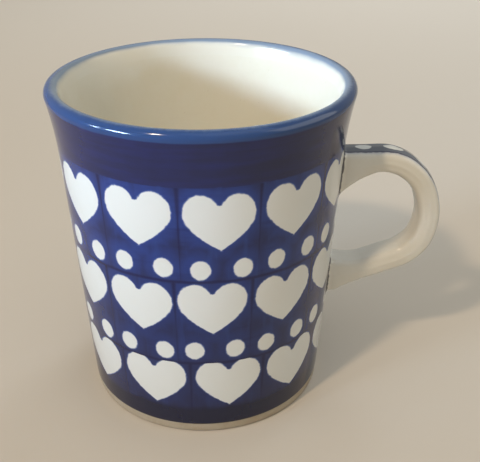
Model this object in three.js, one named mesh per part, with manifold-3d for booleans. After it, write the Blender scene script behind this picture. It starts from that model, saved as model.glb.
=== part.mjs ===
// Stoneware mug: a tapered cup with a rounded lip and a strap handle, as the separate
// clay pieces, slip joints and glaze coats that a potter builds it from.
// Millimetres, +Z up. The mug stands on z = 0 and the handle points along +X.
// The origin is under the middle of the whole mug, so the cup's own axis lies at a negative x.
import * as THREE from 'three';
import { mergeVertices } from 'three/addons/utils/BufferGeometryUtils.js';
import Module from 'manifold-3d';

const wasm = await Module();
wasm.setup();

// Cup, measured to the outside of the glaze
const cupHeight = 95;
const rimRadius = 42.5;
const footRadius = 35.2;
const wallTaper = 0.0635;       // outward lean of the wall, mm per mm of height
const flareStart = 76;          // height where the wall starts to flare to the lip
const flareHeights = [82, 87, 90.5];  // where the flare's curve has its corners
const lipRadius = 2;            // round of the lip, so the wall is two of these thick there
const insideTaper = 0.094;
const floorTop = 8;
const insideCorner = 7;         // round between the inside wall and the floor
const footChamfer = 0.8;
const footRingWidth = 4.6;      // bare ring that stands on the table
const footRecess = 2.6;         // depth of the recess inside the foot ring
const recessCorner = 1.2;
const glazeFoot = 3.1;          // height where the outer glaze stops above the bare foot

// Glaze coats
const glazeThickness = 0.3;
const coatGap = 0.1;            // space between a coat and what it covers
const coatDepth = glazeThickness + coatGap;

// Handle, a strap bent in the XZ plane; distances outward are from the cup's axis
const handleReach = 70;
const handleWidth = 9.4;
const handleEdge = 2.1;         // round of the strap's long edges
const strapThickness = 6.4;
const lowerThickness = 6.8;     // the strap grows a little thicker toward its lower root
const strapMiddleZ = 53;        // height of the outermost point of the bend
const thickeningDrop = 12;      // how far below that the strap has its lower thickness
const wallAtHandle = 39;        // about where the wall's surface is, at both roots
const strapSteps = 34;

// How the strap spreads into the wall: start is the distance from the cup's axis where it begins
const rootEase = 1.6;
const underUpperRoot = { start: 51, spread: 7 };
const overLowerRoot = { start: 48, spread: 2.2 };
const underLowerRoot = { start: 48, spread: 2.2 };

// Slip joints between the handle's two roots and the wall
const cutGap = 0.3;             // space between a piece and the neighbour that shaped it
const slipThickness = 1;
const slipMargin = 0.7;         // how far the slip squeezes out around a root

const around = 56;              // segments of everything turned on the wheel
const trimMargin = 5;           // how far a trimming volume reaches past what it trims
const cupAxisX = (rimRadius - handleReach) / 2;

const lipCentreZ = cupHeight - lipRadius;
const lipCentreR = rimRadius - lipRadius;

// Outer radius of the glazed wall at height z, up to the lip's widest line.
function outerRadius(z) {
  const flareLength = lipCentreZ - flareStart;
  const flare = rimRadius - footRadius - wallTaper * lipCentreZ;
  const t = Math.max(0, (z - flareStart) / flareLength);
  return footRadius + wallTaper * z + flare * t * t;
}

function insideRadius(z) {
  return lipCentreR - lipRadius - insideTaper * (lipCentreZ - z);
}

// Points of an arc about (r, z), from angle a0 to a1 in degrees, 0 pointing outward and 90 up.
function arc(r, z, radius, a0, a1, steps) {
  const points = [];
  for (let i = 0; i <= steps; i += 1) {
    const a = THREE.MathUtils.degToRad(a0 + ((a1 - a0) * i) / steps);
    points.push([r + radius * Math.cos(a), z + radius * Math.sin(a)]);
  }
  return points;
}

// The wall's outside from height z0 to the flare's end, sunk by depth under the glazed surface.
function outsideLine(z0, depth) {
  return [z0, flareStart, ...flareHeights].map((z) => [outerRadius(z) - depth, z]);
}

// The lip's round from its outside (0 degrees) to the angle a1 on its inside.
function lipLine(depth, a1) {
  const steps = Math.round(a1 / 30);
  return arc(lipCentreR, lipCentreZ, lipRadius - depth, 0, a1, steps);
}

// The inside surface from just under the lip, round the corner, to the middle of the floor.
function insideLine(zTop, depth) {
  const cornerZ = floorTop + insideCorner;
  const cornerR = insideRadius(cornerZ) - insideCorner;
  const corner = arc(cornerR, cornerZ, insideCorner + depth, 0, -90, 5);
  return [[insideRadius(zTop) + depth, zTop], ...corner, [0, floorTop - depth]];
}

// Turns a closed outline of [radius, height] points on the wheel.
function turned(outline) {
  const points = [...outline, outline[0]].map(([r, z]) => new THREE.Vector2(r, z));
  return new THREE.LatheGeometry(points, around).rotateX(Math.PI / 2);
}

function toSolid(geometry) {
  const bare = geometry.clone();
  bare.deleteAttribute('normal');
  bare.deleteAttribute('uv');
  const merged = mergeVertices(bare, 1e-4);
  let index = merged.index ? merged.index.array : [...merged.attributes.position.array.keys()];
  index = dropCollapsed(index);
  const mesh = new wasm.Mesh({
    numProp: 3,
    vertProperties: new Float32Array(merged.attributes.position.array),
    triVerts: new Uint32Array(index),
  });
  return new wasm.Manifold(mesh);
}

// Leaves out the triangles that merging on the axis has folded to a line.
function dropCollapsed(index) {
  const kept = [];
  for (let i = 0; i < index.length; i += 3) {
    const [a, b, c] = [index[i], index[i + 1], index[i + 2]];
    if (a !== b && b !== c && c !== a) kept.push(a, b, c);
  }
  return kept;
}

function toGeometry(solid) {
  const mesh = solid.getMesh();
  const geometry = new THREE.BufferGeometry();
  geometry.setAttribute('position', new THREE.BufferAttribute(mesh.vertProperties, 3));
  geometry.setIndex(new THREE.BufferAttribute(mesh.triVerts, 1));
  geometry.computeVertexNormals();
  return geometry;
}

// The whole volume inside the glazed wall, grown outward by grow: it trims what meets the wall.
function wallVolume(grow) {
  const top = cupHeight + trimMargin;
  const radius = rimRadius + grow;
  const side = outsideLine(-trimMargin, -grow);
  return toSolid(turned([[0, -trimMargin], ...side, [radius, lipCentreZ], [radius, top], [0, top]]));
}

// Middle line of the strap, x outward from the cup's axis and y up, from the upper root round the
// bend to the lower root. Both ends run on into the wall, where they are trimmed.
const strapLine = new THREE.SplineCurve([
  [33, 70.2], [46, 70.2], [54.3, 70], [60.5, 66.8], [64.8, 61.2],
  [handleReach - strapThickness / 2, strapMiddleZ],
  [65.3, 44.9], [60.7, 39.8], [54, 37.1], [47.5, 34.9], [41, 33.5], [33, 32.4],
].map(([x, y]) => new THREE.Vector2(x, y)));

// How much a root has spread at the distance x from the cup's axis.
function rootSpread(x, { start, spread }) {
  const t = (start - Math.max(x, wallAtHandle)) / (start - wallAtHandle);
  return spread * Math.max(0, t) ** rootEase;
}

// Half the strap's thickness at the height z, before the roots spread.
function halfThickness(z) {
  const t = THREE.MathUtils.clamp((strapMiddleZ - z) / thickeningDrop, 0, 1);
  return THREE.MathUtils.lerp(strapThickness, lowerThickness, t) / 2;
}

// Side face of the strap inside its rounded edges: out along the outer side and back along the inner.
function sideFace() {
  const outer = [];
  const inner = [];
  for (let i = 0; i <= strapSteps; i += 1) {
    const t = i / strapSteps;
    const middle = strapLine.getPoint(t);
    const along = strapLine.getTangent(t);
    const out = new THREE.Vector2(-along.y, along.x);
    const half = halfThickness(middle.y) - handleEdge;
    const upper = middle.y > strapMiddleZ;
    const outward = upper ? 0 : rootSpread(middle.x, underLowerRoot);
    const inward = rootSpread(middle.x, upper ? underUpperRoot : overLowerRoot);
    outer.push(middle.clone().addScaledVector(out, half + outward));
    inner.push(middle.clone().addScaledVector(out, -half - inward));
  }
  return new THREE.Shape([...outer, ...inner.reverse()]);
}

// The strap with rounded long edges, grown outward by grow and left untrimmed.
function strap(grow) {
  const depth = handleWidth - 2 * handleEdge + 2 * grow;
  const geometry = new THREE.ExtrudeGeometry(sideFace(), {
    depth,
    bevelEnabled: true,
    bevelThickness: handleEdge,
    bevelSize: handleEdge + grow,
    bevelSegments: 3,
  });
  geometry.translate(0, 0, -depth / 2);
  return toSolid(geometry.rotateX(Math.PI / 2));
}

// A block between the heights z0 and z1 that holds one root of the handle and not the other.
function rootBlock(z0, z1) {
  const block = new THREE.BoxGeometry(2 * handleReach, 2 * handleWidth, z1 - z0);
  return toSolid(block.translate(0, 0, (z0 + z1) / 2));
}

const upperRoot = () => rootBlock(strapMiddleZ, cupHeight);
const lowerRoot = () => rootBlock(0, strapMiddleZ);

function cupBody() {
  const ringInner = outerRadius(0) - footChamfer - footRingWidth;
  const bareDepth = coatDepth / 2;
  const outline = [
    [0, footRecess],
    ...arc(ringInner - recessCorner, footRecess - recessCorner, recessCorner, 90, 0, 2),
    [ringInner, 0],
    [outerRadius(0) - footChamfer, 0],
    [outerRadius(footChamfer) - bareDepth, footChamfer],
    [outerRadius(glazeFoot) - bareDepth, glazeFoot - cutGap],
    ...outsideLine(glazeFoot, coatDepth),
    ...lipLine(coatDepth, 180),
    ...insideLine(lipCentreZ - lipRadius, coatDepth),
  ];
  return toSolid(turned(outline));
}

// The coat ends inside the lip, on the line where the coloured rim meets the plain liner.
function outerGlaze() {
  const outline = [
    ...outsideLine(glazeFoot, 0),
    ...lipLine(0, 180),
    ...lipLine(glazeThickness, 180).reverse(),
    ...outsideLine(glazeFoot, glazeThickness).reverse(),
  ];
  const openings = strap(slipMargin + cutGap);
  return toSolid(turned(outline)).subtract(openings);
}

function linerGlaze() {
  const top = lipCentreZ - cutGap;
  const outline = [...insideLine(top, 0), ...insideLine(top, glazeThickness).reverse()];
  return toSolid(turned(outline));
}

function baseGlaze() {
  const radius = outerRadius(0) - footChamfer - footRingWidth - recessCorner;
  const top = footRecess - coatGap;
  const bottom = top - glazeThickness;
  return toSolid(turned([[0, bottom], [radius, bottom], [radius, top], [0, top]]));
}

function handle() {
  return strap(-coatDepth).subtract(wallVolume(slipThickness + cutGap));
}

function handleGlaze() {
  const coat = strap(0).subtract(strap(-glazeThickness));
  return coat.subtract(wallVolume(slipThickness + cutGap));
}

// Slip squeezed between a root and the clay wall, proud of the glazed wall by its margin.
function slipJoint(block) {
  const pad = strap(slipMargin).intersect(wallVolume(slipThickness)).intersect(block);
  return pad.subtract(wallVolume(cutGap - coatDepth));
}

const clay = { color: 0xd9cbb0, roughness: 0.85, metalness: 0 };
const wetSlip = { color: 0xcfc2a8, roughness: 0.8, metalness: 0 };
const cobalt = { color: 0x33418f, roughness: 0.16, metalness: 0 };
const ivory = { color: 0xe6e0cf, roughness: 0.16, metalness: 0 };

function piece(name, solid, look) {
  const mesh = new THREE.Mesh(toGeometry(solid), new THREE.MeshStandardMaterial(look));
  mesh.name = name;
  return mesh;
}

const group = new THREE.Group();
group.position.x = cupAxisX;
group.add(
  piece('cup_body', cupBody(), clay),
  piece('handle', handle(), clay),
  piece('upper_slip_joint', slipJoint(upperRoot()), wetSlip),
  piece('lower_slip_joint', slipJoint(lowerRoot()), wetSlip),
  piece('outer_glaze', outerGlaze(), cobalt),
  piece('liner_glaze', linerGlaze(), ivory),
  piece('base_glaze', baseGlaze(), ivory),
  piece('handle_glaze', handleGlaze(), ivory),
);

export default group;
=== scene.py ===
"""Looks for a stamped stoneware mug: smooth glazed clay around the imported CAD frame."""
import math

import bpy
from mathutils import Matrix, Vector


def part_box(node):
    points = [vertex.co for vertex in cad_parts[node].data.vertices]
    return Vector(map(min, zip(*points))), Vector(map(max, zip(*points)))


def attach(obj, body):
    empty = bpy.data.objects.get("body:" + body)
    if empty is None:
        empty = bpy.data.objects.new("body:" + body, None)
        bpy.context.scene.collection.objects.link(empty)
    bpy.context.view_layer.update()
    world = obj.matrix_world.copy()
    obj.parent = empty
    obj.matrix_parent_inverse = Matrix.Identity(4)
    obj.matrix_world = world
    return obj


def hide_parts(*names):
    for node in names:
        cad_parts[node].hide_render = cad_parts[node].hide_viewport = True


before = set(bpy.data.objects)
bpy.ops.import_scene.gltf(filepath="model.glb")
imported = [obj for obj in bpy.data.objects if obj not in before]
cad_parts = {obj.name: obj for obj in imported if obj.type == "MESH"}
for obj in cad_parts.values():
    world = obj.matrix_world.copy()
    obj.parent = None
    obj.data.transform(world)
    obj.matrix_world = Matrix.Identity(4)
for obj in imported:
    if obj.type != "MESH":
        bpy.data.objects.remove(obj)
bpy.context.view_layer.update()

MM = 0.001

# ---------------------------------------------------------------- driving sizes, from the frame

WALL_LOW, WALL_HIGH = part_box("outer_glaze")
AXIS_X = (WALL_LOW.x + WALL_HIGH.x) / 2          # the cup's own axis
RIM_RADIUS = (WALL_HIGH.x - WALL_LOW.x) / 2
CUP_HEIGHT = WALL_HIGH.z
GLAZE_FOOT = WALL_LOW.z                           # the bare foot shows below this height
STRAP_LOW, STRAP_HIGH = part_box("handle_glaze")
BASE_LOW, BASE_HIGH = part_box("base_glaze")

# The rest of the wall's section, as in the CAD, in metres
FOOT_RADIUS = 35.2 * MM
WALL_TAPER = 0.0635
FLARE_START = 76 * MM
LIP_RADIUS = 2 * MM
LIP_Z = CUP_HEIGHT - LIP_RADIUS
LIP_R = RIM_RADIUS - LIP_RADIUS
INSIDE_TAPER = 0.084
INSIDE_FLARE = 0.16                               # extra outward lean just under the lip
INSIDE_FLARE_DEPTH = 0.8 * MM                     # how much that lean moves the wall in all
INSIDE_LEAN = math.atan(INSIDE_TAPER + INSIDE_FLARE)
INSIDE_TOP_R = LIP_R - LIP_RADIUS * math.cos(INSIDE_LEAN)
INSIDE_TOP_Z = LIP_Z + LIP_RADIUS * math.sin(INSIDE_LEAN)
LINER_TOP = LIP_Z - 2.6 * MM                      # the blue glaze laps over the lip down to here
FLOOR_TOP = 8 * MM
INSIDE_CORNER = 7 * MM
FOOT_CHAMFER = 0.9 * MM
RECESS_CORNER = 1.2 * MM
GLAZE_BEAD = 0.25 * MM                            # the coat's edge is a soft roll above the foot
BASE_GLAZE_EDGE = 0.3 * MM                        # round of the base glaze's edge
CLAY_DEPTH = 0.4 * MM                             # the clay's surface under the glaze's
BARE_DEPTH = 0.12 * MM                            # the same where the foot has no glaze
COAT_GAP = 0.1 * MM                               # between the base glaze and the clay above it
HANDLE_WIDTH = STRAP_HIGH.y - STRAP_LOW.y

TURNED_STEPS = 288                                # segments round everything turned
WALL_STEP = 1.5 * MM                              # height of one ring of the outside wall
INSIDE_STEP = 1 * MM
FLOOR_STEP = 3 * MM


def outer_radius(z):
    """Radius of the glazed wall at the height z, up to the lip's widest line."""
    flare = RIM_RADIUS - FOOT_RADIUS - WALL_TAPER * LIP_Z
    t = max(0.0, (z - FLARE_START) / (LIP_Z - FLARE_START))
    return FOOT_RADIUS + WALL_TAPER * z + flare * t * t


def inside_radius(z):
    """Radius of the liner at the height z. It leans out, and flares a little under the lip."""
    depth = INSIDE_TOP_Z - z
    flare = INSIDE_FLARE_DEPTH * math.tanh(depth * INSIDE_FLARE / INSIDE_FLARE_DEPTH)
    return INSIDE_TOP_R - INSIDE_TAPER * depth - flare


def hand_turned(angle, z):
    """How far the wheel's work strays from true, so that reflections aren't ruled lines."""
    return (0.10 * math.sin(2 * angle + 0.6) + 0.06 * math.sin(3 * angle + 55 * z)
            + 0.03 * math.sin(5 * angle - 90 * z)) * MM


# ---------------------------------------------------------------- mesh helpers

def new_object(name, vertices, faces):
    mesh = bpy.data.meshes.new(name)
    mesh.from_pydata(vertices, [], faces)
    mesh.validate()
    for polygon in mesh.polygons:
        polygon.use_smooth = True
    piece = bpy.data.objects.new(name, mesh)
    bpy.context.scene.collection.objects.link(piece)
    return piece


def arc(r, z, radius, start, end, steps):
    """Points about (r, z) from the angle start to end in degrees, 0 outward and 90 up."""
    angles = [math.radians(start + (end - start) * i / steps) for i in range(steps + 1)]
    return [(r + radius * math.cos(a), z + radius * math.sin(a)) for a in angles]


def spaced(start, end, step):
    count = max(1, round(abs(end - start) / step))
    return [start + (end - start) * i / count for i in range(count + 1)]


def turned(name, outline):
    """Turns (radius, height) points about the cup's axis. A point at radius 0 closes the middle."""
    vertices, rings = [], []
    for r, z in outline:
        if r <= 0:
            rings.append([len(vertices)])
            vertices.append((AXIS_X, 0.0, z))
            continue
        first = len(vertices)
        for i in range(TURNED_STEPS):
            angle = 2 * math.pi * i / TURNED_STEPS
            true = r + hand_turned(angle, z) * min(1.0, r / (10 * MM))
            vertices.append((AXIS_X + true * math.cos(angle), true * math.sin(angle), z))
        rings.append(list(range(first, len(vertices))))
    faces = []
    for lower, upper in zip(rings, rings[1:]):
        for i in range(TURNED_STEPS):
            j = (i + 1) % TURNED_STEPS
            if len(lower) == 1:
                faces.append((lower[0], upper[j], upper[i]))
            elif len(upper) == 1:
                faces.append((lower[i], lower[j], upper[0]))
            else:
                faces.append((lower[i], lower[j], upper[j], upper[i]))
    return new_object(name, vertices, faces)


# ---------------------------------------------------------------- the cup's pieces

def outside_line(bottom, depth=0.0):
    return [(outer_radius(z) - depth, z) for z in spaced(bottom, LIP_Z, WALL_STEP)]


def inside_line(top, depth=0.0):
    corner_z = FLOOR_TOP + INSIDE_CORNER
    corner_r = inside_radius(corner_z) - INSIDE_CORNER
    wall = [(inside_radius(z) + depth, z) for z in spaced(top, corner_z, INSIDE_STEP)]
    corner = arc(corner_r, corner_z, INSIDE_CORNER + depth, 0, -90, 14)
    floor = [(r, FLOOR_TOP - depth) for r in spaced(corner_r, 0, FLOOR_STEP)[1:]]
    return wall + corner[1:] + floor


def make_outer_glaze():
    """The coat from its edge above the foot, up the wall, over the lip and a little way down."""
    edge_r = outer_radius(GLAZE_FOOT) - GLAZE_BEAD
    edge = arc(edge_r, GLAZE_FOOT + GLAZE_BEAD, GLAZE_BEAD, -90, -10, 4)
    lip = arc(LIP_R, LIP_Z, LIP_RADIUS, 0, 180 - math.degrees(INSIDE_LEAN), 28)
    lap = [(inside_radius(z), z) for z in spaced(INSIDE_TOP_Z, LINER_TOP, 0.4 * MM)]
    outline = edge + outside_line(GLAZE_FOOT + 2 * GLAZE_BEAD) + lip[1:] + lap[1:]
    return turned("outer_glaze_coat", outline)


def make_liner():
    return turned("liner_glaze_coat", inside_line(LINER_TOP))


def make_clay_body():
    """The clay: underside, foot ring, bare foot, then the whole wall just under its glaze."""
    ring_outer = outer_radius(0) - FOOT_CHAMFER
    ring_inner = BASE_HIGH.x - AXIS_X + 0.9 * MM
    recess = BASE_HIGH.z + COAT_GAP
    underside = [(0.0, recess), (ring_inner - 2 * MM, recess)]
    underside += arc(ring_inner - RECESS_CORNER, recess - RECESS_CORNER, RECESS_CORNER, 90, 0, 6)
    ring = [(ring_inner + 0.25 * MM, 0.1 * MM), (ring_inner + 0.6 * MM, 0.0),
            (ring_outer - 0.5 * MM, 0.0), (ring_outer, 0.06 * MM)]
    ring += arc(outer_radius(0) - 1.0 * MM, 0.9 * MM, 0.85 * MM, -70, -5, 6)
    bare_foot = [(outer_radius(z) - BARE_DEPTH, z)
                 for z in spaced(1.2 * MM, GLAZE_FOOT + 0.2 * MM, 0.4 * MM)]
    wall = outside_line(GLAZE_FOOT + 0.8 * MM, CLAY_DEPTH)
    lip = arc(LIP_R, LIP_Z, LIP_RADIUS - CLAY_DEPTH, 0, 180, 16)[1:]
    inside = inside_line(LIP_Z - 2 * MM, CLAY_DEPTH)
    return turned("clay_body", underside + ring + bare_foot + wall + lip + inside)


def make_base_glaze():
    flat = BASE_HIGH.x - AXIS_X - 2 * BASE_GLAZE_EDGE
    outline = [(r, BASE_LOW.z) for r in spaced(0, flat, FLOOR_STEP)]
    outline += arc(flat, BASE_LOW.z + BASE_GLAZE_EDGE, BASE_GLAZE_EDGE, -90, 0, 4)[1:]
    return turned("base_glaze_coat", outline)


# ---------------------------------------------------------------- the handle

# Middle line of the strap, in mm outward from the cup's axis and up, the same route as the CAD
STRAP_ROUTE = [
    (33, 70.2), (46, 70.2), (54.3, 70), (60.5, 66.8), (64.8, 61.2), (66.8, 53),
    (65.3, 44.9), (60.7, 39.8), (54, 37.1), (47.5, 34.9), (41, 33.5), (33, 32.4),
]
STRAP_THICKNESS = 6.4 * MM
LOWER_THICKNESS = 6.8 * MM
STRAP_MIDDLE_Z = 53 * MM
THICKENING_DROP = 12 * MM                         # from there down to the full LOWER_THICKNESS
WALL_AT_HANDLE = 39 * MM
HANDLE_EDGE = 2.1 * MM                            # round of the strap's long edges
HANDLE_CROWN = 0.22 * MM                          # how much its broad faces swell in the middle
ROOT_EASE = 1.6                                   # more of it keeps the spread near the wall
UNDER_UPPER_ROOT = (51 * MM, 7 * MM)              # radius where a root starts to spread, how much
LOWER_ROOT = (48 * MM, 2.2 * MM)
FILLET = 1.5 * MM                                 # glaze and slip gathered round each root
HIDDEN_DEPTH = 1.2 * MM                           # the strap's ends stop this deep in the wall
EDGE_STEPS = 9                                    # segments of each rounded edge
FACE_STEPS = 7                                    # segments of each face between them
NEAR_WALL = 2.5 * MM                              # the loft's rings stand closer inside this gap
FINE_STEP, COARSE_STEP = 0.0009, 0.0045           # from ring to ring, as parts of the route
TANGENT_STEP = 0.002                              # either side of a ring, to find its direction


def route_point(t):
    """Catmull-Rom curve through the route's points, t from 0 to 1."""
    place = min(max(t, 0.0), 1.0) * (len(STRAP_ROUTE) - 1)
    i = min(int(place), len(STRAP_ROUTE) - 2)
    w = place - i
    picks = [STRAP_ROUTE[min(max(k, 0), len(STRAP_ROUTE) - 1)] for k in range(i - 1, i + 3)]

    def blend(p0, p1, p2, p3):
        v0, v1 = (p2 - p0) / 2, (p3 - p1) / 2
        cubic = 2 * p1 - 2 * p2 + v0 + v1
        square = 3 * p2 - 3 * p1 - 2 * v0 - v1
        return cubic * w ** 3 + square * w ** 2 + v0 * w + p1

    return Vector((blend(*(p[0] for p in picks)), blend(*(p[1] for p in picks)))) * MM


def root_spread(x, start, spread):
    """How much thicker the strap is on one side at x, growing from start to the wall."""
    t = (start - max(x, WALL_AT_HANDLE)) / (start - WALL_AT_HANDLE)
    return spread * max(0.0, t) ** ROOT_EASE


def strap_half(middle):
    """Half thickness of the strap toward its outer side and toward its inner side."""
    t = min(1.0, max(0.0, (STRAP_MIDDLE_Z - middle.y) / THICKENING_DROP))
    half = (STRAP_THICKNESS + (LOWER_THICKNESS - STRAP_THICKNESS) * t) / 2
    if middle.y > STRAP_MIDDLE_Z:
        return half, half + root_spread(middle.x, *UNDER_UPPER_ROOT)
    spread = root_spread(middle.x, *LOWER_ROOT)
    return half + spread, half + spread


def strap_section(outer, inner):
    """Points and normals of the strap's section, (across, toward the outer side)."""
    flat = HANDLE_WIDTH / 2 - HANDLE_EDGE
    corners = [(flat, outer - HANDLE_EDGE), (-flat, outer - HANDLE_EDGE),
               (-flat, HANDLE_EDGE - inner), (flat, HANDLE_EDGE - inner)]
    points = []
    for k, (y, v) in enumerate(corners):
        for i in range(EDGE_STEPS + 1):
            angle = math.radians(90 * (k + i / EDGE_STEPS))
            normal = Vector((math.cos(angle), math.sin(angle)))
            points.append((Vector((y, v)) + normal * HANDLE_EDGE, normal))
        start = points[-1][0]
        end = Vector(corners[(k + 1) % 4]) + normal * HANDLE_EDGE
        for i in range(1, FACE_STEPS):
            w = i / FACE_STEPS
            swell = HANDLE_CROWN * math.sin(math.pi * w) ** 2
            points.append((start.lerp(end, w) + normal * swell, normal))
    return points


def strap_places():
    """Places along the route, closer together where the strap meets the wall."""
    places, t = [], 0.0
    while t < 1.0:
        middle = route_point(t)
        gap = abs(middle.x - outer_radius(middle.y))
        places.append(t)
        t += FINE_STEP if gap < NEAR_WALL else COARSE_STEP
    return [t for t in places if route_point(t).x > outer_radius(route_point(t).y) - HIDDEN_DEPTH]


def fillet_swell(gap):
    """How far the surface turns outward at the distance gap from the wall."""
    near = min(FILLET, max(0.0, FILLET - gap))
    return FILLET - math.sqrt(FILLET ** 2 - near ** 2)


def make_handle():
    """Lofts the strap. The strip attribute says how far along, across and outward each point is."""
    vertices, strip, rings = [], [], []
    run, before = 0.0, None
    for t in strap_places():
        middle = route_point(t)
        along = (route_point(t + TANGENT_STEP) - route_point(t - TANGENT_STEP)).normalized()
        out = Vector((-along.y, along.x))
        run += (middle - before).length if before else 0.0
        before = middle
        ring = []
        for (y, v), normal in strap_section(*strap_half(middle)):
            x, z = middle + out * v
            swell = fillet_swell(math.hypot(x, y) - outer_radius(z))
            x += out.x * normal.y * swell
            z += out.y * normal.y * swell
            ring.append(len(vertices))
            vertices.append((AXIS_X + x, y + normal.x * swell, z))
            strip.append((run / MM, y / MM, normal.y))
        rings.append(ring)
    faces = []
    for a, b in zip(rings, rings[1:]):
        for i in range(len(a)):
            j = (i + 1) % len(a)
            faces.append((a[i], a[j], b[j], b[i]))
    piece = new_object("handle_strap_coat", vertices, faces)
    attribute = piece.data.attributes.new("strip", "FLOAT_VECTOR", "POINT")
    for value, numbers in zip(attribute.data, strip):
        value.vector = numbers
    return piece


# ---------------------------------------------------------------- node expressions

class Field:
    """A number that varies over a surface, written with ordinary arithmetic."""

    def __init__(self, tree, socket):
        self.tree, self.socket = tree, socket

    def math(self, operation, *others):
        node = self.tree.nodes.new("ShaderNodeMath")
        node.operation = operation
        for slot, value in zip(node.inputs, (self, *others)):
            if isinstance(value, Field):
                self.tree.links.new(value.socket, slot)
            else:
                slot.default_value = value
        return Field(self.tree, node.outputs[0])

    def __add__(self, other): return self.math("ADD", other)
    def __radd__(self, other): return self.math("ADD", other)
    def __sub__(self, other): return self.math("SUBTRACT", other)
    def __rsub__(self, other): return (self * -1.0) + other
    def __mul__(self, other): return self.math("MULTIPLY", other)
    def __truediv__(self, other): return self.math("DIVIDE", other)
    def abs(self): return self.math("ABSOLUTE")
    def floor(self): return self.math("FLOOR")
    def sqrt(self): return self.math("SQRT")
    def power(self, exponent): return self.math("POWER", exponent)
    def min(self, other): return self.math("MINIMUM", other)
    def max(self, other): return self.math("MAXIMUM", other)
    def above(self, level): return self.math("GREATER_THAN", level)
    def below(self, level): return self.math("LESS_THAN", level)

    def ramp(self, lit_upper_rows, high):
        """0 below low and 1 above high, easing between them; low may be the larger."""
        node = self.tree.nodes.new("ShaderNodeMapRange")
        node.interpolation_type = "SMOOTHSTEP"
        self.tree.links.new(self.socket, node.inputs["Value"])
        if lit_upper_rows <= high:
            limits = (lit_upper_rows, high, 0.0, 1.0)
        else:
            limits = (high, lit_upper_rows, 1.0, 0.0)
        for name, value in zip(("From Min", "From Max", "To Min", "To Max"), limits):
            node.inputs[name].default_value = value
        return Field(self.tree, node.outputs["Result"])


class Paint:
    """Builds one material's node tree."""

    def __init__(self, name, roughness, **sockets):
        self.material = bpy.data.materials.new(name)
        self.material.use_nodes = True
        self.tree = self.material.node_tree
        self.shader = self.tree.nodes["Principled BSDF"]
        self.shader.inputs["Roughness"].default_value = roughness
        for key, value in sockets.items():
            self.shader.inputs[key.replace("_", " ")].default_value = value
        self.coordinate = self.tree.nodes.new("ShaderNodeTexCoord").outputs["Object"]

    def axes(self):
        """x, y and z in millimetres, x and y measured from the cup's axis."""
        split = self.tree.nodes.new("ShaderNodeSeparateXYZ")
        self.tree.links.new(self.coordinate, split.inputs[0])
        x, y, z = (Field(self.tree, socket) for socket in split.outputs)
        return (x - AXIS_X) / MM, y / MM, z / MM

    def vector(self, x, y, z):
        node = self.tree.nodes.new("ShaderNodeCombineXYZ")
        for slot, value in zip(node.inputs, (x, y, z)):
            if isinstance(value, Field):
                self.tree.links.new(value.socket, slot)
            else:
                slot.default_value = value
        return node.outputs[0]

    def noise(self, vector, size, detail=2.0, roughness=0.5):
        """Noise about 0, roughly -0.5 to 0.5, with features about size across in vector's units."""
        node = self.tree.nodes.new("ShaderNodeTexNoise")
        node.inputs["Scale"].default_value = 1 / size
        node.inputs["Detail"].default_value = detail
        node.inputs["Roughness"].default_value = roughness
        self.tree.links.new(vector, node.inputs["Vector"])
        return Field(self.tree, node.outputs[0]) - 0.5

    def per_cell(self, index, row):
        """Three random numbers about 0 that belong to one stamp."""
        node = self.tree.nodes.new("ShaderNodeTexWhiteNoise")
        node.noise_dimensions = "2D"
        self.tree.links.new(self.vector(index, row, 0.0), node.inputs["Vector"])
        split = self.tree.nodes.new("ShaderNodeSeparateXYZ")
        self.tree.links.new(node.outputs["Color"], split.inputs[0])
        return [Field(self.tree, socket) - 0.5 for socket in split.outputs]

    def mix(self, amount, under, over):
        """over laid on under by amount; each is a colour tuple or a colour socket."""
        node = self.tree.nodes.new("ShaderNodeMix")
        node.data_type = "RGBA"
        self.tree.links.new(amount.socket, node.inputs["Factor"])
        for slot, value in zip((node.inputs[6], node.inputs[7]), (under, over)):
            if isinstance(value, tuple):
                slot.default_value = (*value, 1.0)
            else:
                self.tree.links.new(value, slot)
        return node.outputs[2]

    def colour(self, socket):
        self.tree.links.new(socket, self.shader.inputs["Base Color"])

    def roughness(self, field):
        self.tree.links.new(field.socket, self.shader.inputs["Roughness"])

    def bump(self, height, distance, strength):
        node = self.tree.nodes.new("ShaderNodeBump")
        node.inputs["Distance"].default_value = distance
        node.inputs["Strength"].default_value = strength
        self.tree.links.new(height.socket, node.inputs["Height"])
        self.tree.links.new(node.outputs["Normal"], self.shader.inputs["Normal"])


# ---------------------------------------------------------------- colours (linear)

GLAZE = {"Specular_IOR_Level": 0.5}
WHITE_GLAZE = (0.74, 0.745, 0.71)
LIP_BLUE = (0.022, 0.060, 0.180)
LIP_PALE = (0.24, 0.31, 0.40)
BAND_NAVY = (0.014, 0.018, 0.066)
BAND_BLUE = (0.015, 0.021, 0.110)
CELL_BLUE = (0.018, 0.042, 0.195)
CELL_DEEP = (0.013, 0.022, 0.095)
CELL_PALE = (0.022, 0.055, 0.230)
# painted shade for the lower rows of cells
CELL_PAINTED_SHADE = (0.016, 0.018, 0.055)
CELL_FRINGE = (0.08, 0.15, 0.40)
LINE_NAVY = (0.006, 0.007, 0.050)
FOOT_NAVY = (0.008, 0.010, 0.032)
STROKE_NAVY = (0.005, 0.007, 0.022)
# the strip's cobalt, greyed and lightened by a painted reflection of the sky on its top
STRIP_BLUE_AND_SHEEN = (0.105, 0.120, 0.155)
CREAM = (0.79, 0.75, 0.64)
CREAM_SHADE = (0.76, 0.71, 0.57)
HANDLE_CREAM = (0.77, 0.74, 0.66)
HANDLE_SHADE = (0.71, 0.67, 0.57)
SPECK_BROWN = (0.35, 0.24, 0.14)
# both clay colours are darker than the clay's own tone: painted shade at the foot
SHADED_BARE_CLAY = (0.46, 0.395, 0.30)
CLAY_SHADE = (0.40, 0.325, 0.23)
FLOOR_COLOUR = (0.63, 0.565, 0.48)


# ---------------------------------------------------------------- the stamped wall

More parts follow.
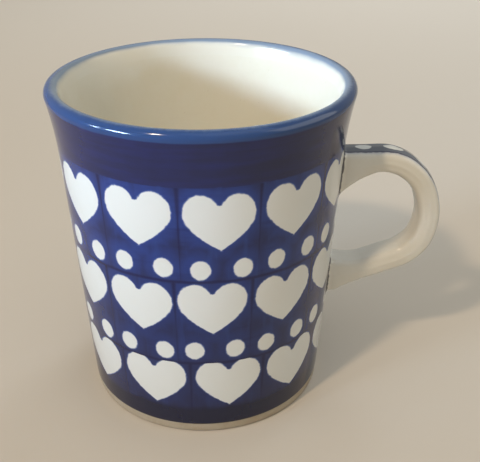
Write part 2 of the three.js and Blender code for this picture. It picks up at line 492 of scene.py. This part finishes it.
# Heights of the decoration's lines, and its shapes, in mm
LIP_BAND_BOTTOM = 92.2
LIP_BAND_INNER = 38.6                             # radius inside the lip where the blue ends
LIP_ZONE = 90.0                                   # above this the lip's paint goes by radius
ROW_TOPS = (80.1, 52.75, 25.9)                    # upper edge of each row of stamped cells
HEART_TIPS = (62.5, 35.9, 10.2)
DOT_HEIGHTS = (56.6, 30.1)                        # only the upper two rows have dots
FOOT_BAND_TOP = 9.4
HEART_HALF_WIDTH = 9.2
HEART_WIDEST = 10.5                               # all above the tip
HEART_NOTCH = 12.75
HEART_FULLNESS = 1.85                             # more of it makes the sides rounder
LOBE_MIDDLE = 4.65                                # from the heart's middle line
LOBE_HALF_WIDTH = 4.55
LOBE_HALF_HEIGHT = 5.35
DOT_SPREAD = 5.55                                 # from the middle line between the two dots
DOT_SHIFT = 0.55                                  # of that line from the heart's
DOT_HALF_WIDTH = 2.6
DOT_HALF_HEIGHT = 2.85
STAMP_SHIFT = 0.7                                 # range over which stamps stray sideways
STAMP_LIFT = 0.6                                  # the same up and down
STAMP_TILT = 0.06                                 # the same for their tilt, as a slope
STAMP_LEAN = 0.022                                # the slope that all of them share
CELL_LINE = (1.0, 0.2)                            # half widths where a dark line ends and is full
ROW_LINE = (0.75, 0.1)
SHAPE_EDGE = 0.2                                  # softness of a white shape's edge
SEAM = 93.0                                       # degrees round, where the decoration begins
HANDLE_ANGLE = 90.0

# Each row: angle of the stamp that faces the front and degrees between stamps
STAMPS = ((5.5, 30.5), (3.1, 30.8), (9.0, 32.727))
FIRST_STAMP, LAST_STAMP = -8, 2

# The dark line brushed round each root of the handle: middle height and half height
ROOT_LINES = ((68.2, 4.4), (33.6, 4.6))
ROOT_HALF_WIDTH = 3.9
ROOT_ROUND = 2.6
ROOT_LINE_WIDTH = 1.5

# The stroke that sweeps up from the upper root, along the wall and up
SWEEP_START = 4.0
SWEEP_LENGTH = 18.0
SWEEP_BOTTOM = 76.1
SWEEP_RISE = 11.9
SWEEP_CURVE = 2.1
SWEEP_HALF_WIDTH = 0.9


def wall_angle(x, y):
    """Degrees round the cup from the front, growing toward the handle, cut at the seam."""
    angle = x.math("ARCTAN2", y * -1.0) * (180 / math.pi)
    return angle - angle.above(SEAM) * 360.0


def heart(across, up):
    """About how far a point is inside a heart's edge; across and up are mm from the tip."""
    a = across.abs()
    lobe_x = (a - LOBE_MIDDLE) / LOBE_HALF_WIDTH
    lobe_y = (up - HEART_WIDEST) / LOBE_HALF_HEIGHT
    lobe = (1.0 - (lobe_x * lobe_x + lobe_y * lobe_y).sqrt()) * LOBE_HALF_WIDTH
    full = (1.0 - up / HEART_WIDEST).max(0.0).min(1.0)
    side = ((1.0 - full.power(HEART_FULLNESS)) * HEART_HALF_WIDTH - a) * 0.8
    side = side.min((HEART_WIDEST - up) * 3.0).min(up * 0.8)
    middle = (HEART_NOTCH - up + a * 0.4).min(LOBE_MIDDLE - a).min(up - 4.0)
    return lobe.max(side).max(middle)


def root_line(along, z, middle, half):
    """Distance outside a rounded outline round one root; along is mm from the handle's middle."""
    dx = (along - ROOT_HALF_WIDTH).max(0.0)
    dz = ((z - middle).abs() - half).max(0.0)
    return (dx * dx + dz * dz).sqrt() - ROOT_ROUND


def wall_paint():
    """Cobalt and white stamped decoration, brushed lines and the lip's band, under clear glaze."""
    paint = Paint("stamped_cobalt_glaze", 0.13, **GLAZE)
    x, y, z = paint.axes()
    where = paint.vector(x, y, z)
    radius = (x * x + y * y).sqrt()
    angle = wall_angle(x, y)
    rough = paint.noise(where, 0.9, 2.0) * 0.9
    soft = paint.noise(where, 8.0, 2.0)
    streak = paint.noise(paint.vector(x * 0.1, y * 0.1, z), 1.5, 3.0)
    upright = paint.noise(paint.vector(x, y, z * 0.12), 2.4, 2.0)

    # white shapes and the cells' edges, row by row
    inside, lines = None, None
    for row, (front, pitch) in enumerate(STAMPS):
        floor = ROW_TOPS[row + 1] if row < 2 else 0.0
        here = z.below(ROW_TOPS[row]) * z.above(floor)
        place = (angle - front) / pitch
        index = (place + 0.5).floor()
        cell = radius * math.radians(pitch)
        shift, lift, tilt = paint.per_cell(index, row + 3.0)
        inked = here * index.above(FIRST_STAMP - 0.5) * index.below(LAST_STAMP + 0.5)
        across = (place - index) * cell + shift * STAMP_SHIFT
        lifted = z + lift * STAMP_LIFT
        up = lifted - HEART_TIPS[row]
        shape = heart(across + (up - 8.0) * (tilt * STAMP_TILT + STAMP_LEAN), up)
        if row < 2:
            dot_x = ((across - DOT_SHIFT).abs() - DOT_SPREAD) / DOT_HALF_WIDTH
            dot_z = (lifted - DOT_HEIGHTS[row]) / DOT_HALF_HEIGHT
            dot = (1.0 - (dot_x * dot_x + dot_z * dot_z).sqrt()) * DOT_HALF_WIDTH
            shape = shape.max(dot)
        shape = shape * inked - (1.0 - inked) * 9.0
        inside = shape if inside is None else inside.max(shape)
        slant = (z - ROW_TOPS[row]) * 0.03 + soft * 0.8 + tilt * 0.6
        border = (((place - index).abs() - 0.5) * cell + slant).abs()
        line = border.ramp(*CELL_LINE) * inked
        lines = line if lines is None else lines.max(line)
    for top in ROW_TOPS[1:]:
        lines = lines.max((z - top + soft * 0.7).abs().ramp(*ROW_LINE))
    inside = inside + rough * 0.38 + paint.noise(where, 1.7, 1.0) * 0.38

    # the blue ground: lighter close round the stamps, darker toward the cells' edges
    # painted shade: the halo round the stamps is weaker in the lower rows, so the ground is darker
    # toward the bottom
    lit_upper_rows = (z + soft * 12.0).ramp(44.0, 62.0) * 0.45
    ground = paint.mix((inside + soft * 5.0).ramp(-4.5, -0.3) * (lit_upper_rows + 0.55), CELL_DEEP, CELL_BLUE)
    ground = paint.mix(upright.ramp(0.0, 0.22) * 0.4, ground, CELL_PALE)
    ground = paint.mix((streak + soft).ramp(0.05, 0.4) * 0.35, ground, LINE_NAVY)
    # painted shade: the ground is darkened toward the bottom
    ground = paint.mix((z + soft * 6.0).ramp(48.0, 14.0) * 0.5, ground, CELL_PAINTED_SHADE)
    ground = paint.mix(lines * 0.7, ground, LINE_NAVY)
    ground = paint.mix(inside.ramp(-0.45, -0.1) * 0.5, ground, CELL_FRINGE)

    # plain bands above and below the stamps
    band = paint.mix((streak + soft * 0.6).ramp(-0.25, 0.3) * 0.7, BAND_NAVY, BAND_BLUE)
    ground = paint.mix((z + soft * 0.8).ramp(ROW_TOPS[0] - 0.1, ROW_TOPS[0] + 0.5), ground, band)
    foot = (z + soft * 2.4 + streak).ramp(FOOT_BAND_TOP + 1.2, FOOT_BAND_TOP - 1.0) * 0.9
    ground = paint.mix(foot, ground, FOOT_NAVY)
    ground = paint.mix(inside.ramp(-SHAPE_EDGE, SHAPE_EDGE), ground, WHITE_GLAZE)

    # brushed lines round the handle's roots, and a stroke that sweeps up from the upper one
    along = (angle - HANDLE_ANGLE).abs()
    along = along.min(360.0 - along) * radius * (math.pi / 180)
    strokes = None
    for middle, half in ROOT_LINES:
        edge = (root_line(along, z, middle, half) - 0.4 + soft * 1.2).abs() - ROOT_LINE_WIDTH / 2
        strokes = edge if strokes is None else strokes.min(edge)
    part = ((along - SWEEP_START) / SWEEP_LENGTH).max(0.0)
    sweep = (z - SWEEP_BOTTOM - part.power(SWEEP_CURVE) * SWEEP_RISE).abs() - SWEEP_HALF_WIDTH
    sweep = sweep.max(SWEEP_START - along).max(along - (SWEEP_START + SWEEP_LENGTH))
    strokes = strokes.min(sweep) + rough * 0.5
    ground = paint.mix(strokes.ramp(0.15, -0.2) * z.below(LIP_ZONE) * 0.92, ground, STROKE_NAVY)

    # the lip: a clearer blue that turns pale grey-blue over the edge, then the plain liner
    lip = (z + soft * 0.5).ramp(LIP_BAND_BOTTOM - 0.25, LIP_BAND_BOTTOM + 0.35)
    ground = paint.mix(lip, ground, LIP_BLUE)
    over_lip = z.above(LIP_ZONE)
    pale_crest = (radius + (soft + rough) * 0.8).ramp(LIP_R / MM + 1.1, LIP_R / MM - 0.9) * over_lip
    ground = paint.mix(pale_crest * 0.85, ground, LIP_PALE)
    end = (radius + soft * 0.4).ramp(LIP_BAND_INNER + 0.7, LIP_BAND_INNER - 0.2) * over_lip
    ground = paint.mix(end, ground, CREAM)

    paint.colour(ground)
    paint.roughness(0.11 + soft.abs() * 0.06 + rough.abs() * 0.05)
    ripple = soft * 1.2 + paint.noise(where, 2.6, 1.0) * 0.15
    relief = inside.ramp(-0.3, 0.3) * 0.12
    paint.bump(ripple + relief, 0.10 * MM, 0.6)
    return paint.material


def cream_paint(name, colour, shade):
    """Cream glaze: slightly uneven colour, pooled in places, with a few fine specks."""
    paint = Paint(name, 0.12, **GLAZE)
    where = paint.vector(*paint.axes())
    cloud = paint.noise(where, 14.0, 3.0)
    fine = paint.noise(where, 1.4, 2.0)
    pin = paint.noise(where, 0.55, 1.0)
    ground = paint.mix((cloud + fine * 0.3).ramp(-0.25, 0.3) * 0.6, colour, shade)
    ground = paint.mix(pin.ramp(0.29, 0.33) * 0.5, ground, SPECK_BROWN)
    paint.colour(ground)
    paint.roughness(0.12 + fine.abs() * 0.08)
    paint.bump(cloud * 1.2 + paint.noise(where, 3.0, 1.0) * 0.2, 0.05 * MM, 0.5)
    return paint.material


def clay_paint():
    """Bare fired stoneware: matte, sandy, with turning marks; its colours are darkened with painted
    shade at the foot.
    """
    paint = Paint("bare_stoneware", 0.75, Specular_IOR_Level=0.3)
    x, y, z = paint.axes()
    where = paint.vector(x, y, z)
    grain = paint.noise(where, 0.35, 3.0, 0.7)
    cloud = paint.noise(where, 6.0, 2.0)
    radius = (x * x + y * y).sqrt()
    rings = (radius + z).math("SINE")
    # painted shade: the clay colours are darkened to stand for shade at the foot
    ground = paint.mix((cloud + grain * 0.7).ramp(-0.3, 0.35), SHADED_BARE_CLAY, CLAY_SHADE)
    paint.colour(ground)
    paint.roughness(0.68 + grain.abs() * 0.4)
    paint.bump(grain + rings * 0.15, 0.12 * MM, 0.6)
    return paint.material


# The strip along the handle's outer side, in mm
STRIP_HALF_WIDTH = 3.3
STRIP_FIRST_DOT = 7.6                             # from the wall, along the strap
STRIP_DOT_PITCH = 8.1
STRIP_DOT_HALF_LENGTH = 2.4
STRIP_DOT_HALF_WIDTH = 1.7
STRIP_DOT_SIDE = 0.5                              # off the strap's middle line


def handle_paint():
    """Ivory strap with a cobalt strip and white oval dots down its outer side; the strip's blue is
    greyed and lightened by a painted reflection of the sky.
    """
    paint = Paint("strap_glaze", 0.12, **GLAZE)
    x, y, z = paint.axes()
    where = paint.vector(x, y, z)
    cloud = paint.noise(where, 12.0, 3.0)
    fine = paint.noise(where, 1.2, 2.0)
    ground = paint.mix((cloud + fine * 0.3).ramp(-0.25, 0.3) * 0.6, HANDLE_CREAM, HANDLE_SHADE)
    read = paint.tree.nodes.new("ShaderNodeAttribute")
    read.attribute_name = "strip"
    split = paint.tree.nodes.new("ShaderNodeSeparateXYZ")
    paint.tree.links.new(read.outputs["Vector"], split.inputs[0])
    run, side, outward = (Field(paint.tree, socket) for socket in split.outputs)
    strip = STRIP_HALF_WIDTH - side.abs() + cloud * 0.8 + fine * 0.5
    on_top = outward.above(0.3)
    beat = (run - STRIP_FIRST_DOT) / STRIP_DOT_PITCH + 0.5
    step = (beat - beat.floor() - 0.5) * (STRIP_DOT_PITCH / STRIP_DOT_HALF_LENGTH)
    offset = (side - STRIP_DOT_SIDE) / STRIP_DOT_HALF_WIDTH
    dot = (1.0 - (step * step + offset * offset).sqrt()) * STRIP_DOT_HALF_WIDTH + fine * 0.4
    ground = paint.mix(strip.ramp(-0.9, 0.0) * on_top * 0.35, ground, CELL_FRINGE)
    # the strip's blue carries a painted reflection of the sky
    ground = paint.mix(strip.ramp(-0.25, 0.25) * on_top, ground, STRIP_BLUE_AND_SHEEN)
    ground = paint.mix(strip.ramp(0.9, 0.1) * strip.above(0.0) * on_top * 0.7, ground, LINE_NAVY)
    ground = paint.mix(dot.ramp(-0.15, 0.15) * on_top, ground, WHITE_GLAZE)
    wall = FOOT_RADIUS / MM + z * WALL_TAPER
    gap = (x * x + y * y).sqrt() - wall + fine * 0.8 + cloud * 0.8
    ground = paint.mix(gap.ramp(0.75, 0.45) * 0.92, ground, STROKE_NAVY)
    paint.colour(ground)
    paint.roughness(0.12 + fine.abs() * 0.08)
    paint.bump(cloud * 1.2 + paint.noise(where, 3.0, 1.0) * 0.2, 0.10 * MM, 0.6)
    return paint.material


# ---------------------------------------------------------------- assembly

def add_material(piece, material):
    piece.data.materials.clear()
    piece.data.materials.append(material)


def finish_piece(piece, material, slot, *nodes):
    """Gives a piece its material, hangs it on the root body and hides the CAD nodes it stands for.
    """
    add_material(piece, material)
    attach(piece, "root")
    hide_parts(*nodes)


cream = cream_paint("liner_cream_glaze", CREAM, CREAM_SHADE)
clay = clay_paint()
finish_piece(make_outer_glaze(), wall_paint(), "decorated_glaze", "outer_glaze")
finish_piece(make_liner(), cream, "liner_glaze", "liner_glaze")
base_cream = cream_paint("base_cream_glaze", CREAM, HANDLE_SHADE)
finish_piece(make_base_glaze(), base_cream, "base_glaze", "base_glaze")
finish_piece(make_clay_body(), clay, "fired_clay", "cup_body")
finish_piece(make_handle(), handle_paint(), "handle_glaze",
             "handle_glaze", "upper_slip_joint", "lower_slip_joint")
add_material(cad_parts["handle"], clay)


# ---------------------------------------------------------------- stage, light and camera

def make_floor():
    size = 1.6
    corners = [(-size, -size, 0), (size, -size, 0), (size, size, 0), (-size, size, 0)]
    floor = new_object("floor", corners, [(0, 1, 2, 3)])
    paint = Paint("pale_floor", 0.9, Specular_IOR_Level=0.15)
    paint.shader.inputs["Base Color"].default_value = (*FLOOR_COLOUR, 1)
    add_material(floor, paint.material)


def around(target, turn, rise, distance):
    """A point round the target: degrees from the front toward the handle, and degrees up."""
    turn, rise = math.radians(turn), math.radians(rise)
    flat = distance * math.cos(rise)
    away = Vector((flat * math.sin(turn), -flat * math.cos(turn), distance * math.sin(rise)))
    return target + away


def area_light(name, place, target, size, watts, colour, spread=180, lights=True, reflected=True):
    """A rectangular light, which can be left out of reflections or be seen only in them."""
    light = bpy.data.lights.new(name, "AREA")
    light.shape = "RECTANGLE"
    light.size, light.size_y = size
    light.energy = watts
    light.color = colour
    light.spread = math.radians(spread)
    lamp = bpy.data.objects.new(name, light)
    lamp.location = place
    lamp.visible_diffuse = lights
    lamp.visible_glossy = reflected
    lamp.rotation_euler = (target - place).to_track_quat("-Z", "Y").to_euler()
    bpy.context.scene.collection.objects.link(lamp)


DAYLIGHT = (0.54, 0.74, 1.0)
LAMPLIGHT = (1.0, 0.80, 0.58)
SKYLIGHT = (0.86, 0.94, 1.0)
BACKLIGHT = (0.78, 0.88, 1.0)
PALE_LIGHT = (1.0, 0.98, 0.92)
ROOM_COLOUR = (0.95, 0.93, 0.85)
ROOM_STRENGTH = 0.46


def light_scene():
    """Cool window light from the left, a warm lamp high on the left, and soft fill all round."""
    world = bpy.data.worlds.new("room")
    bpy.context.scene.world = world
    world.use_nodes = True
    background = world.node_tree.nodes["Background"]
    background.inputs["Color"].default_value = (*ROOM_COLOUR, 1)
    background.inputs["Strength"].default_value = ROOM_STRENGTH
    mug = Vector((AXIS_X, 0, 0.06))
    over_mug = Vector((AXIS_X, 0, 0.19))
    behind = Vector((AXIS_X + 0.1, 0.6, 0))
    area_light("window", around(mug, -60, 15, 0.9), over_mug,
               size=(0.26, 0.10), watts=0.38, colour=DAYLIGHT, spread=30)
    area_light("far_window", around(mug, -77, 14, 0.9), over_mug,
               size=(0.10, 0.12), watts=0.07, colour=DAYLIGHT, spread=30)
    area_light("lamp", around(mug, -40, 47, 1.2), mug,
               size=(0.08, 0.08), watts=5.2, colour=LAMPLIGHT)
    area_light("ceiling", around(mug, 35, 66, 1.2), mug,
               size=(0.9, 0.9), watts=1.4, colour=SKYLIGHT)
    area_light("back", around(behind, 120, 60, 1.0), behind,
               size=(0.5, 0.5), watts=1.3, colour=BACKLIGHT, spread=70, reflected=False)
    area_light("sheen", around(mug, 80, 25, 1.0), mug,
               size=(1.0, 0.7), watts=3.0, colour=PALE_LIGHT, lights=False)


# The viewpoint: mm from the cup's axis and above the table, and angles in degrees
CAMERA_BACK = 215.4
CAMERA_UP = 161.7
CAMERA_DOWN = 27.993
CAMERA_TURN = 2.827
CAMERA_ROLL = 0.223
CAMERA_LENS = 60.76                               # on a sensor 36 mm wide


def make_camera():
    data = bpy.data.cameras.new("camera")
    data.sensor_width = 36
    data.lens = CAMERA_LENS
    data.clip_start = 0.01
    camera = bpy.data.objects.new("camera", data)
    down, turn, roll = (math.radians(a) for a in (CAMERA_DOWN, CAMERA_TURN, CAMERA_ROLL))
    camera.matrix_world = (
        Matrix.Translation((AXIS_X, -CAMERA_BACK * MM, CAMERA_UP * MM))
        @ Matrix.Rotation(-turn, 4, "Z")
        @ Matrix.Rotation(math.pi / 2 - down, 4, "X")
        @ Matrix.Rotation(roll, 4, "Z")
    )
    bpy.context.scene.collection.objects.link(camera)
    bpy.context.scene.camera = camera


make_floor()
light_scene()
make_camera()
bpy.context.scene.view_settings.view_transform = "Standard"
